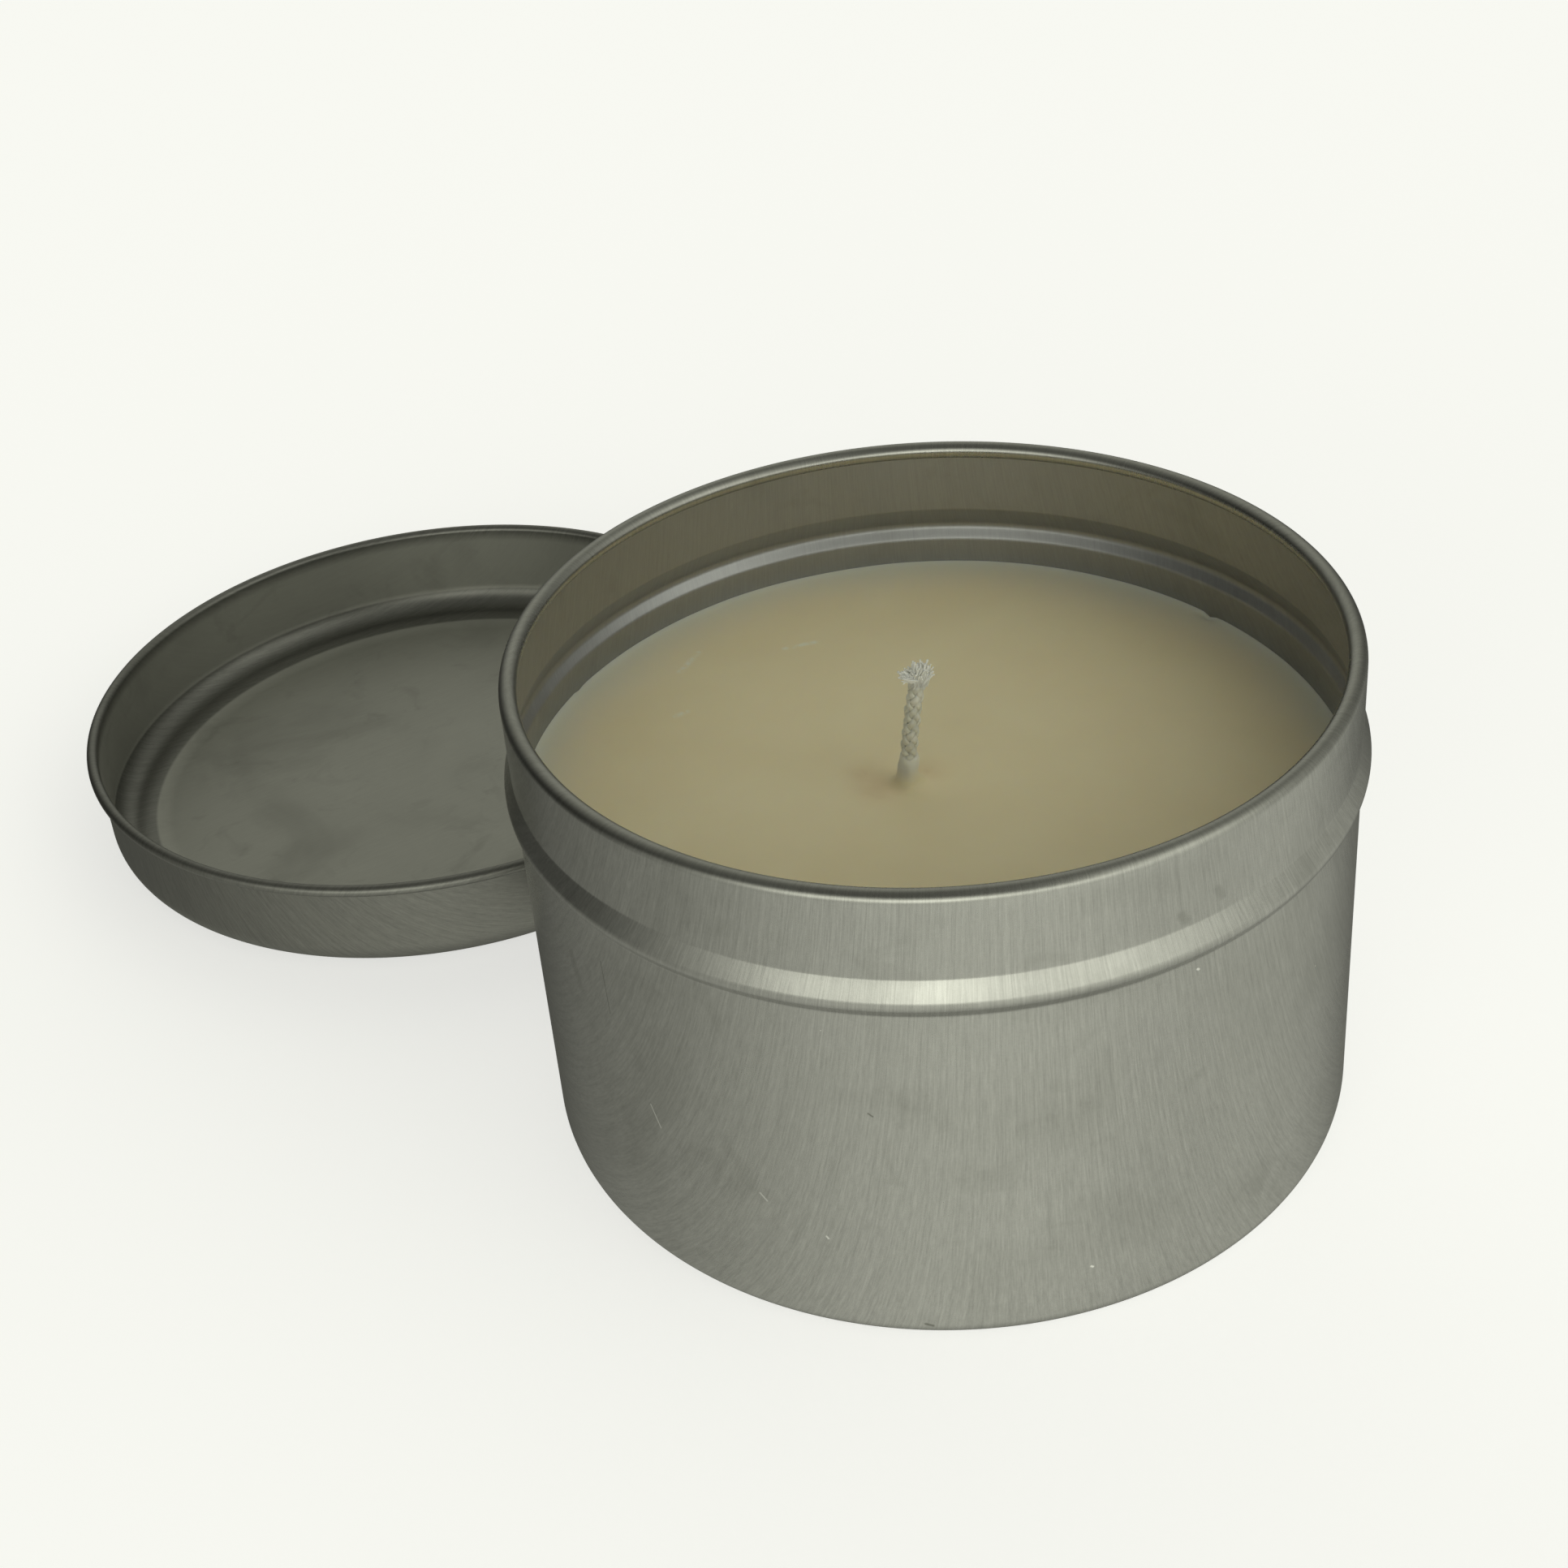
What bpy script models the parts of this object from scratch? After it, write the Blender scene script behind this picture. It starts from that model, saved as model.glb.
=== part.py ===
"""Candle tin: a drawn steel tin with its wax and wick, and its slip lid lying upside down beside it.

Lengths are in metres and +Z is up. The tin stands on its base with its axis on the origin.
"""

import math

import bmesh
import bpy

MM = 0.001

# General
GAP = 0.3 * MM  # room left between pieces that touch
MERGE_DISTANCE = 0.001 * MM
TURNED_SEGMENTS = 48
SMALL_SEGMENTS = 24
SHARP_ANGLE = 35

# Tin: one piece of drawn sheet steel with a bead under its neck and a rim rolled inwards
SHEET = 0.25 * MM
TIN_RADIUS = 39.0 * MM
TIN_HEIGHT = 48.4 * MM
TIN_CORNER = 1.7 * MM
NECK_RADIUS = 38.95 * MM
BEAD_HEIGHT = 38.3 * MM
BEAD_HALF_WIDTH = 2.0 * MM
BEAD_BULGE = 0.72 * MM
BEAD_FILLET = 0.7 * MM
TIN_ROLL = 0.85 * MM
GROOVE_RADIUS = 27.0 * MM
GROOVE_WIDTH = 1.2 * MM
GROOVE_RISE = 0.5 * MM
GROOVE_TURN = 45

# Lid: the same sheet, a raised top panel, a straight skirt and a rim rolled outwards
LID_CENTRE = (-60.0 * MM, 53.9 * MM)
LID_HEIGHT = 12.1 * MM
LID_INNER_RADIUS = 39.03 * MM
LID_CORNER = 2.85 * MM
LID_ROLL = 0.63 * MM
PANEL_RADIUS = 35.2 * MM
PANEL_RISE = 0.6 * MM
PANEL_TURN = 60

# Rolled rims: how far round the sheet's edge goes
ROLL_TURN = 280

# Wick, sustainer and sticker, which stand a little off the tin's axis
WICK_PLACE = (-2.3 * MM, -2.1 * MM)
WICK_RADIUS = 0.85 * MM
WICK_TOP = 46.6 * MM
WICK_LEAN = 1.8 * MM
WICK_POINTS = 24
STICKER_RADIUS = 9.5 * MM
STICKER_THICKNESS = 0.7 * MM
SUSTAINER_RADIUS = 10.0 * MM
SUSTAINER_SHEET = 0.3 * MM
SUSTAINER_NECK_HEIGHT = 5.0 * MM

# Wax
WAX_TOP = 33.6 * MM
WAX_EDGE = 0.4 * MM

# Heights that follow from those above
FLOOR_TOP = SHEET
STICKER_BOTTOM = FLOOR_TOP + GAP
STICKER_TOP = STICKER_BOTTOM + STICKER_THICKNESS
SUSTAINER_BOTTOM = STICKER_TOP + GAP
SUSTAINER_PLATE_TOP = SUSTAINER_BOTTOM + SUSTAINER_SHEET
SUSTAINER_TOP = SUSTAINER_BOTTOM + SUSTAINER_NECK_HEIGHT
SUSTAINER_BORE = WICK_RADIUS + GAP
SUSTAINER_NECK = SUSTAINER_BORE + SUSTAINER_SHEET


# Outlines: lists of (radius, height) points


def arc(centre, radius, start, end, steps):
    """Points round a centre, from one angle to another in degrees, both ends included."""
    angles = [math.radians(start + (end - start) * i / steps) for i in range(steps + 1)]
    return [(centre[0] + radius * math.cos(a), centre[1] + radius * math.sin(a)) for a in angles]


def joggle(start, rise, turn):
    """An S-bend that leaves start outwards and ends level again, higher or lower by rise."""
    side = math.copysign(1, rise)
    bend = abs(rise) / (2 * (1 - math.cos(math.radians(turn))))
    run = 2 * bend * math.sin(math.radians(turn))
    first = arc((start[0], start[1] + side * bend), bend, -90 * side, (turn - 90) * side, 1)
    end_centre = (start[0] + run, start[1] + rise - side * bend)
    last = arc(end_centre, bend, (90 + turn) * side, 90 * side, 1)
    return first + last[1:]


def half_bead(foot_radius, crest_radius, side):
    """From the wall at a bead's foot to its crest: a fillet, then the crown. side is -1 below it."""
    bulge = crest_radius - foot_radius
    slope = 2 * math.atan(bulge / BEAD_HALF_WIDTH)
    crown = BEAD_HALF_WIDTH / math.sin(slope) - BEAD_FILLET
    slope = math.degrees(slope)
    foot_centre = (foot_radius + BEAD_FILLET, BEAD_HEIGHT + side * BEAD_HALF_WIDTH)
    crown_centre = (crest_radius - crown, BEAD_HEIGHT)
    foot = arc(foot_centre, BEAD_FILLET, 180, 180 + side * slope, 1)
    return foot + arc(crown_centre, crown, side * slope, 0, 2)[1:]


def offset(path, distance):
    """The path moved sideways, to the left of its own direction, with mitred corners."""
    moved = []
    for i, (radius, height) in enumerate(path):
        before = path[max(i - 1, 0)]
        after = path[min(i + 1, len(path) - 1)]
        directions = []
        for start, end in ((before, path[i]), (path[i], after)):
            length = math.dist(start, end)
            if length > 0:
                directions.append(((end[0] - start[0]) / length, (end[1] - start[1]) / length))
        across = sum(d[0] for d in directions) / len(directions)
        along = sum(d[1] for d in directions) / len(directions)
        miter = distance / (across**2 + along**2)
        moved.append((radius - along * miter, height + across * miter))
    return moved


def thickened(path):
    """The closed outline of sheet steel whose middle line is the path."""
    return offset(path, -SHEET / 2) + offset(path, SHEET / 2)[::-1]


def tin_floor_path():
    """Middle line of the tin's base, from its centre to the foot of the wall."""
    floor = SHEET / 2
    wall = TIN_RADIUS - SHEET / 2
    corner = TIN_CORNER - SHEET / 2
    groove = joggle((GROOVE_RADIUS, floor), GROOVE_RISE, GROOVE_TURN)
    top_end = (groove[-1][0] + GROOVE_WIDTH, groove[-1][1])
    groove += joggle(top_end, -GROOVE_RISE, GROOVE_TURN)
    return [(0, floor)] + groove + arc((wall - corner, floor + corner), corner, -90, 0, 4)


def tin_outline():
    wall = TIN_RADIUS - SHEET / 2
    neck = NECK_RADIUS - SHEET / 2
    crest = wall + BEAD_BULGE
    roll = TIN_ROLL - SHEET / 2
    bead = half_bead(wall, crest, -1) + half_bead(neck, crest, 1)[-2::-1]
    rim = arc((neck - roll, TIN_HEIGHT - TIN_ROLL), roll, 0, ROLL_TURN, 8)
    return thickened(tin_floor_path() + bead + rim)


def lid_outline():
    """The lid lies upside down, so its top panel is lowest and its rim is highest."""
    panel = SHEET / 2
    wall = LID_INNER_RADIUS + SHEET / 2
    corner = LID_CORNER - SHEET / 2
    roll = LID_ROLL - SHEET / 2
    step = joggle((PANEL_RADIUS, panel), PANEL_RISE, PANEL_TURN)
    bend = arc((wall - corner, panel + PANEL_RISE + corner), corner, -90, 0, 5)
    rim = arc((wall + roll, LID_HEIGHT - LID_ROLL), roll, 180, 180 - ROLL_TURN, 8)
    return thickened([(0, panel)] + step + bend + rim)


def wax_outline():
    """The wax fills the tin below its bead, one gap clear of the steel."""
    inside = offset(tin_floor_path() + [(TIN_RADIUS - SHEET / 2, WAX_TOP)], SHEET / 2 + GAP)
    wall = inside[-1][0]
    edge = arc((wall - WAX_EDGE, WAX_TOP - WAX_EDGE), WAX_EDGE, 0, 90, 2)
    return inside[:-1] + edge + [(0, WAX_TOP)]


def sustainer_outline():
    """A flat round plate with a neck that is crimped round the wick."""
    return [
        (SUSTAINER_BORE, SUSTAINER_BOTTOM),
        (SUSTAINER_RADIUS, SUSTAINER_BOTTOM),
        (SUSTAINER_RADIUS, SUSTAINER_PLATE_TOP),
        (SUSTAINER_NECK + SUSTAINER_SHEET, SUSTAINER_PLATE_TOP),
        (SUSTAINER_NECK, SUSTAINER_PLATE_TOP + SUSTAINER_SHEET),
        (SUSTAINER_NECK, SUSTAINER_TOP),
        (SUSTAINER_BORE, SUSTAINER_TOP),
    ]


def sticker_outline():
    return [
        (0, STICKER_BOTTOM),
        (STICKER_RADIUS, STICKER_BOTTOM),
        (STICKER_RADIUS, STICKER_TOP),
        (0, STICKER_TOP),
    ]


def wick_space_outline():
    """What the wax leaves free for the wick, its sustainer and the sticker, open at both ends."""
    return [
        (0, -GAP),
        (SUSTAINER_RADIUS + GAP, -GAP),
        (SUSTAINER_RADIUS + GAP, SUSTAINER_PLATE_TOP + GAP),
        (SUSTAINER_NECK + SUSTAINER_SHEET + GAP, SUSTAINER_PLATE_TOP + GAP),
        (SUSTAINER_NECK + GAP, SUSTAINER_PLATE_TOP + SUSTAINER_SHEET + GAP),
        (SUSTAINER_NECK + GAP, SUSTAINER_TOP + GAP),
        (SUSTAINER_BORE, SUSTAINER_TOP + 2 * GAP),
        (SUSTAINER_BORE, WAX_TOP + GAP),
        (0, WAX_TOP + GAP),
    ]


def wick_centreline():
    """The wick stands straight in the wax, then leans over in a slight curve."""
    points = []
    for i in range(WICK_POINTS + 1):
        height = SUSTAINER_BOTTOM + (WICK_TOP - SUSTAINER_BOTTOM) * i / WICK_POINTS
        free = max(0, height - WAX_TOP) / (WICK_TOP - WAX_TOP)
        points.append((WICK_LEAN * free**1.5, 0, height))
    return points


# Objects


def clear_scene():
    for thing in list(bpy.data.objects):
        bpy.data.objects.remove(thing, do_unlink=True)


def material(name, colour, metallic, roughness):
    made = bpy.data.materials.new(name)
    made.use_nodes = True
    shader = made.node_tree.nodes["Principled BSDF"]
    shader.inputs["Base Color"].default_value = (*colour, 1)
    shader.inputs["Metallic"].default_value = metallic
    shader.inputs["Roughness"].default_value = roughness
    made.diffuse_color = (*colour, 1)
    return made


def link(thing, parent):
    bpy.context.scene.collection.objects.link(thing)
    thing.parent = parent
    return thing


def empty(name, place, parent=None):
    made = link(bpy.data.objects.new(name, None), parent)
    made.location = (*place, 0)
    return made


def turned(name, outline, parent, finish=None, segments=TURNED_SEGMENTS):
    """A solid made by turning a closed outline round the vertical axis of its parent."""
    shape = bmesh.new()
    points = [shape.verts.new((radius, 0, height)) for radius, height in outline]
    edges = [shape.edges.new(pair) for pair in zip(points, points[1:])]
    if outline[0][0] > 0:
        edges.append(shape.edges.new((points[-1], points[0])))
    bmesh.ops.spin(
        shape, geom=points + edges, cent=(0, 0, 0), axis=(0, 0, 1),
        angle=math.tau, steps=segments, use_merge=True,
    )
    bmesh.ops.remove_doubles(shape, verts=shape.verts, dist=MERGE_DISTANCE)
    bmesh.ops.recalc_face_normals(shape, faces=shape.faces)
    mesh = bpy.data.meshes.new(name)
    shape.to_mesh(mesh)
    shape.free()
    mesh.shade_smooth()
    mesh.set_sharp_from_angle(angle=math.radians(SHARP_ANGLE))
    if finish:
        mesh.materials.append(finish)
    return link(bpy.data.objects.new(name, mesh), parent)


def make_tin(parent):
    steel = material("tin_steel", (0.43, 0.43, 0.41), 1.0, 0.30)
    return turned("tin_body", tin_outline(), parent, steel)


def make_lid(parent):
    steel = material("lid_steel", (0.30, 0.30, 0.28), 1.0, 0.32)
    return turned("lid", lid_outline(), parent, steel)


def make_wax(parent, wick_parent):
    wax = material("wax", (0.74, 0.65, 0.40), 0.0, 0.50)
    fill = turned("wax_fill", wax_outline(), parent, wax)
    space = turned("wick_space", wick_space_outline(), wick_parent, segments=SMALL_SEGMENTS)
    space.hide_render = True
    space.display_type = "WIRE"
    cut = fill.modifiers.new("wick_space", "BOOLEAN")
    cut.operation = "DIFFERENCE"
    cut.solver = "EXACT"
    cut.object = space
    return fill


def make_sustainer(parent):
    metal = material("sustainer_metal", (0.60, 0.60, 0.60), 1.0, 0.35)
    return turned("wick_sustainer", sustainer_outline(), parent, metal, SMALL_SEGMENTS)


def make_sticker(parent):
    foam = material("sticker_foam", (0.85, 0.85, 0.82), 0.0, 0.9)
    return turned("wick_sticker", sticker_outline(), parent, foam, SMALL_SEGMENTS)


def make_wick(parent):
    line = bpy.data.curves.new("wick", "CURVE")
    line.dimensions = "3D"
    line.bevel_depth = WICK_RADIUS
    line.bevel_resolution = 2
    line.use_fill_caps = True
    centreline = wick_centreline()
    spline = line.splines.new("POLY")
    spline.points.add(len(centreline) - 1)
    for point, place in zip(spline.points, centreline):
        point.co = (*place, 1)
    line.materials.append(material("wick_cotton", (0.72, 0.70, 0.62), 0.0, 0.85))
    return link(bpy.data.objects.new("wick", line), parent)


def main():
    clear_scene()
    tin = empty("tin_axis", (0, 0))
    wick_axis = empty("wick_axis", WICK_PLACE, tin)
    lid_slide = empty("lid_slide", LID_CENTRE)
    make_tin(tin)
    make_wax(tin, wick_axis)
    make_wick(wick_axis)
    make_sustainer(wick_axis)
    make_sticker(wick_axis)
    make_lid(lid_slide)


main()
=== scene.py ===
"""Looks for the candle tin: fine steel shells, poured wax, a braided wick and a soft studio."""

import math
import random

import bpy
import numpy as np
from mathutils import Matrix, Vector, noise


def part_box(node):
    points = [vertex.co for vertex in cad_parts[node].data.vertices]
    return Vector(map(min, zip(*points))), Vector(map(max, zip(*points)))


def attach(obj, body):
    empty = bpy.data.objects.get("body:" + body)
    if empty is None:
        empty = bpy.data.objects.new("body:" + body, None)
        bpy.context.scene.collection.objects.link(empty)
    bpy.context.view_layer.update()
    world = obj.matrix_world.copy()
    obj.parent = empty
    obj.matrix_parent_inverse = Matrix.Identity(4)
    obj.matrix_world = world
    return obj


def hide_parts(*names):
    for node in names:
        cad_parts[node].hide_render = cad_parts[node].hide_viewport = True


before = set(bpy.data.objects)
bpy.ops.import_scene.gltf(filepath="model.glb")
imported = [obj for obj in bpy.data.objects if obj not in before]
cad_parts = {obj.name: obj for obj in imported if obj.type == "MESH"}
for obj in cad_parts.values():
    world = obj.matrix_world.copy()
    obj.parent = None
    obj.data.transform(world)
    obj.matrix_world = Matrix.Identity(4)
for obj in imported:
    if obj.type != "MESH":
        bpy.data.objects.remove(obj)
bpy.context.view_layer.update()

MM = 0.001
TURNED_SEGMENTS = 288
MERGE_DISTANCE = 0.0005 * MM
SHARP_ANGLE = 50

# Tin: the sizes of the CAD part, but the bead's crest is lower and its flanks are straighter
SHEET = 0.25 * MM
TIN_RADIUS = 39.0 * MM
TIN_HEIGHT = 48.4 * MM
TIN_CORNER = 1.7 * MM
NECK_RADIUS = 38.95 * MM
BEAD_HEIGHT = 38.3 * MM
BEAD_HALF_WIDTH = 2.0 * MM
BEAD_BULGE = 0.72 * MM
BEAD_CREST_DROP = 0.35 * MM
BEAD_SLOPES = {-1: 33, 1: 21}  # of the flanks, in degrees, below and above the crest
BEAD_FILLET_SHARE = 0.4
TIN_ROLL = 0.85 * MM
GROOVE_RADIUS = 27.0 * MM
GROOVE_WIDTH = 1.2 * MM
GROOVE_RISE = 0.5 * MM
GROOVE_TURN = 45

# The inside of each piece: how far it takes its inside colour, which is painted shade in the tin and painted
# light in the lid, and how much rougher it is
INSIDE_SHADING_SHARE = 0.58
INSIDE_ROUGHER = 0.13

# The top of the tin's rim is darkened as painted shade, from this height up
RIM_SHADE_FROM = 47.5 * MM
RIM_SHADE = 0.55

# Looks of the two steels. The dark and light tones meet in the grain. The lid's tones are darker than the
# tin's as painted shade, for the lid stands where less light falls
TIN_DARK = (0.355, 0.355, 0.34)
TIN_LIGHT = (0.49, 0.49, 0.47)
# Painted shade: the tin's inside, darker and bluer than its outside
TIN_INSIDE_SHADE = (0.285, 0.29, 0.315)
TIN_ROUGHNESS = 0.27
TIN_GRAIN = math.radians(-80)
TIN_SMUDGES = 0.20
# Painted shade: the lid's grain tones, darkened
LID_SHADED_DARK = (0.16, 0.16, 0.15)
LID_SHADED_LIGHT = (0.22, 0.22, 0.205)
# Painted light: the lid's inside, much lighter than its outside
LID_INSIDE_LIGHT = (0.54, 0.54, 0.495)
LID_ROUGHNESS = 0.42
LID_GRAIN = math.radians(35)
LID_SMUDGES = 0.28
SMUDGED = (0.20, 0.20, 0.18)
STEEL_RELIEF = 0.004 * MM

# Scratches, specks and smears on the tin's wall: the azimuth in degrees and the height in millimetres
# of each end, then the half width, strength and colour
BRIGHT = (0.95, 0.95, 0.92)
# Used for real smears on the wall and also for the painted shade on the top of the rim
SOILED_AND_SHADE = (0.14, 0.14, 0.12)
TIN_MARKS = (
    ((-131.8, 19.4), (-130.4, 17.2), 0.10 * MM, 0.6, BRIGHT),
    ((-115.2, 14.5), (-114.3, 13.8), 0.12 * MM, 0.5, BRIGHT),
    ((-106.5, 11.2), (-106.3, 11.0), 0.14 * MM, 0.7, BRIGHT),
    ((-73.0, 6.5), (-72.8, 6.4), 0.16 * MM, 0.9, BRIGHT),
    ((-58.3, 35.4), (-58.1, 35.3), 0.16 * MM, 0.9, BRIGHT),
    ((-149.1, 39.5), (-148.9, 39.4), 0.16 * MM, 0.8, BRIGHT),
    ((-138.3, 33.0), (-137.8, 27.4), 0.07 * MM, 0.7, SOILED_AND_SHADE),
    ((-99.9, 26.0), (-99.4, 25.7), 0.12 * MM, 0.7, SOILED_AND_SHADE),
    ((-94.5, 1.8), (-93.6, 1.6), 0.20 * MM, 0.7, SOILED_AND_SHADE),
    ((-146.0, 30.8), (-144.6, 27.6), 0.75 * MM, 0.22, SOILED_AND_SHADE),
    ((-60.8, 41.6), (-60.0, 40.8), 0.60 * MM, 0.25, SOILED_AND_SHADE),
    ((-55.5, 42.6), (-54.6, 41.6), 0.50 * MM, 0.22, SOILED_AND_SHADE),
)

# Lid, which lies upside down. Its panel steps up further in and more gently than in the CAD
LID_LOW, LID_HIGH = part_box("lid")
LID_CENTRE = ((LID_LOW + LID_HIGH) / 2).to_2d()
LID_HEIGHT = 12.1 * MM
LID_INNER_RADIUS = 39.03 * MM
LID_CORNER = 2.85 * MM
LID_ROLL = 0.63 * MM
PANEL_RADIUS = 32.4 * MM
PANEL_RISE = 0.6 * MM
PANEL_TURN = 18
ROLL_TURN = 280

# Wick, its sustainer and the space that the wax leaves for them
GAP = 0.3 * MM
WICK_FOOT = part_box("wick")[0].z
WICK_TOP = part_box("wick")[1].z
WICK_PLACE = ((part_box("wick_sustainer")[0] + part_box("wick_sustainer")[1]) / 2).to_2d()
WICK_LEAN = 1.8 * MM
WICK_STEP = 0.12 * MM
PLATE_RADIUS = (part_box("wick_sustainer")[1].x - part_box("wick_sustainer")[0].x) / 2 + GAP
PLATE_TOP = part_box("wick_sticker")[1].z + 0.9 * MM
SUSTAINER_NECK_RADIUS = 1.75 * MM
SUSTAINER_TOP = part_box("wick_sustainer")[1].z + GAP
BRAID_STRANDS = 4
BRAID_PITCH = 5.0 * MM
BRAID_RADIUS = 0.56 * MM
BRAID_WEAVE = 0.12 * MM
STRAND_WIDTH = 0.32 * MM
STRAND_THICKNESS = 0.14 * MM
CORE_RADIUS = 0.46 * MM
FRAY_HEIGHT = 2.3 * MM
FRAY_STEPS = 8
HAIR_SPREAD = 0.14
HAIR_CURL = 0.5
HAIR_BEND = 0.22
HAIR_ROOT = 0.10 * MM
HAIR_REACH = (0.6, 0.95)
HAIR_SIZES = (0.10, 0.17)  # in millimetres
HAIR_TAPER = 0.4
HAIR_HEADROOM = 0.14 * MM
# The two tufts of the frayed end: (way, length, start above the braid, share of the hairs)
FRAY_TUFTS = (
    (Vector((0.30, 0.0, 1.0)), 2.2 * MM, -0.3 * MM, 20),
    (Vector((-1.0, -0.15, 0.42)), 1.35 * MM, 0.5 * MM, 14),
)

# Wax: poured hot, so it climbs the steel and the wick a little, and sinks as it sets
WAX_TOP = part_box("wax_fill")[1].z
WAX_CLEARANCE = 0.02 * MM
WAX_RINGS = 90
RING_CROWDING = 1.6  # over 1 brings the rings closer together at the wall
SURFACE_START = 2.0 * MM
UNDERSIDE_START = PLATE_RADIUS + 4 * MM
WAX_WALL_HEIGHTS = (10 * MM, 20 * MM, 30 * MM, 32 * MM)
MENISCUS_RISE = 0.22 * MM
MENISCUS_REACH = 0.45 * MM
LOW_SIDE = math.radians(12)
SINK_DEPTH = 0.75 * MM
EDGE_RISE = 0.15 * MM
WAVE_LENGTH = 14 * MM
WAVE_HEIGHT = 0.10 * MM
RIPPLE_LENGTH = 4 * MM
RIPPLE_HEIGHT = 0.02 * MM
DIP_DEPTH = 0.18 * MM
DIP_RADIUS = 3.5 * MM
# Small nicks in the surface, each (x, y, size, height)
WAX_MARKS = (
    (-35.3 * MM, 16.7 * MM, 0.5 * MM, -0.3 * MM),
    (29.0 * MM, 25.3 * MM, 0.6 * MM, -0.45 * MM),
)
# Pale scuffs on the wax, each a short line: (start, end)
WAX_SCUFFS = (
    ((-25.0 * MM, 19.2 * MM, 0), (-23.4 * MM, 22.6 * MM, 0)),
    ((-14.4 * MM, 22.7 * MM, 0), (-11.4 * MM, 23.6 * MM, 0)),
    ((-24.9 * MM, 11.0 * MM, 0), (-23.9 * MM, 11.7 * MM, 0)),
)
# Painted shadows of the wick, brown, round its foot: (place, radius, depth)
WICK_SHADOWS = (
    ((-5.2 * MM, -2.9 * MM, 0), 4.2 * MM, 0.60),
    ((-6.4 * MM, -0.4 * MM, 0), 3.4 * MM, 0.35),
    ((-0.4 * MM, -0.6 * MM, 0), 3.2 * MM, 0.40),
)
# The wax that clings to the foot of the wick, from its top down: (radius, height) in millimetres
COLLAR = (
    (0.55, 3.3),
    (0.72, 3.25),
    (0.84, 3.0),
    (0.92, 2.5),
    (0.97, 1.9),
    (1.00, 1.2),
    (1.10, 0.6),
    (1.35, 0.25),
)
COLLAR_SWELL = 0.16
COLLAR_SWELL_SCALE = 900
COLLAR_SAG = 0.12
COLLAR_SAG_SCALE = 700
COLLAR_FOOT = 1  # in millimetres: below it, the collar follows the wax round it
BORE = 0.82 * MM

WAX_DEEP = (0.94, 0.81, 0.53)
WAX_PALE = (0.98, 0.85, 0.57)
# Painted reflection of the steel wall at the wax's edge
WAX_WALL_REFLECTION = (0.76, 0.75, 0.62)
WAX_THIN = (0.92, 0.89, 0.74)
# Brown of the painted shadows round the wick's foot
WAX_SHADOWED = (0.66, 0.47, 0.27)
WAX_SCUFFED = (1.0, 0.97, 0.82)

# Light: broad soft patches of sky, each (azimuth, elevation, sharpness, strength); -90 is behind the camera.
# The list began as a least-squares fit to the photo's brightness, and was then changed
SOFT_LIGHTS = (
    (-90, 22, 22, 0.85),
    (-30, 25, 14, 1.05),
    (-120, 10, 22, 1.3),
    (-90, 6, 30, 1.8),
    (-60, 6, 24, 1.1),
    (-120, 25, 22, 0.45),
    (-30, 0, 14, 0.35),
    (-150, 0, 14, 0.25),
    (-30, 50, 8, 0.25),
    (-150, 65, 5, 0.18),
    (-50, -20, 6, 0.66),
    (10, -20, 6, 0.48),
    (-90, -20, 6, 0.34),
    (-130, -20, 6, 0.32),
    (90, 40, 6, 0.42),
    (90, 12, 8, 0.30),
    (10, 40, 6, 0.48),
    (130, 40, 6, 0.20),
    (170, -50, 6, 0.30),
    (10, -50, 6, 0.28),
    (-90, -50, 6, 0.25),
    (-130, -50, 6, 0.12),
    (-80, -80, 5, 0.25),
)

SKY_COLOUR = (0.985, 1.0, 0.87)
ROOM_COLOUR = (0.94, 0.94, 0.93)
FLOOR_COLOUR = (0.80, 0.80, 0.79)
FLOOR_GLOW = 0.62
FLOOR_SIZE = 6
FLOOR_DROP = 0.02 * MM

# Camera: its place, its turns in degrees, its lens in millimetres and its shift as a share of the width
CAMERA_PLACE = (0, -182.2 * MM, 158.8 * MM)
CAMERA_PITCH = 31.26
CAMERA_YAW = -4.76
CAMERA_ROLL = 5.45
CAMERA_LENS = 53.86
CAMERA_SHIFT = (0.0159, -0.0877)
CAMERA_CLIP = (0.01, 10)
SENSOR_WIDTH = 36


# Outlines: lists of (radius, height) points


def arc(centre, radius, start, end, steps):
    """Points round a centre, from one angle to another in degrees, both ends included."""
    angles = [math.radians(start + (end - start) * i / steps) for i in range(steps + 1)]
    return [(centre[0] + radius * math.cos(a), centre[1] + radius * math.sin(a)) for a in angles]


def line(start, end, steps):
    """Points from start to end, without the end itself."""
    return [tuple(a + (b - a) * i / steps for a, b in zip(start, end)) for i in range(steps)]


def joggle(start, rise, turn, steps=6):
    """An S-bend that leaves start outwards and ends level again, higher or lower by rise."""
    side = math.copysign(1, rise)
    bend = abs(rise) / (2 * (1 - math.cos(math.radians(turn))))
    run = 2 * bend * math.sin(math.radians(turn))
    first = arc((start[0], start[1] + side * bend), bend, -90 * side, (turn - 90) * side, steps)
    end_centre = (start[0] + run, start[1] + rise - side * bend)
    last = arc(end_centre, bend, (90 + turn) * side, 90 * side, steps)
    return first + last[1:]


def half_bead(foot_radius, crest_radius, side):
    """From the wall at a bead's foot to its crest: a fillet, a straight flank, then the crown.
    side is -1 below the crest."""
    slope = math.radians(BEAD_SLOPES[side])
    bulge = crest_radius - foot_radius
    crest = BEAD_HEIGHT - BEAD_CREST_DROP
    half_width = BEAD_HALF_WIDTH + side * BEAD_CREST_DROP
    both = (half_width * math.sin(slope) - bulge * math.cos(slope)) / (1 - math.cos(slope))
    fillet = BEAD_FILLET_SHARE * both
    crown = both - fillet
    turn = side * BEAD_SLOPES[side]
    foot = arc((foot_radius + fillet, crest + side * half_width), fillet, 180, 180 + turn, 5)
    top = arc((crest_radius - crown, crest), crown, turn, 0, 8)
    return foot + line(foot[-1], top[0], 3)[1:] + top


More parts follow.
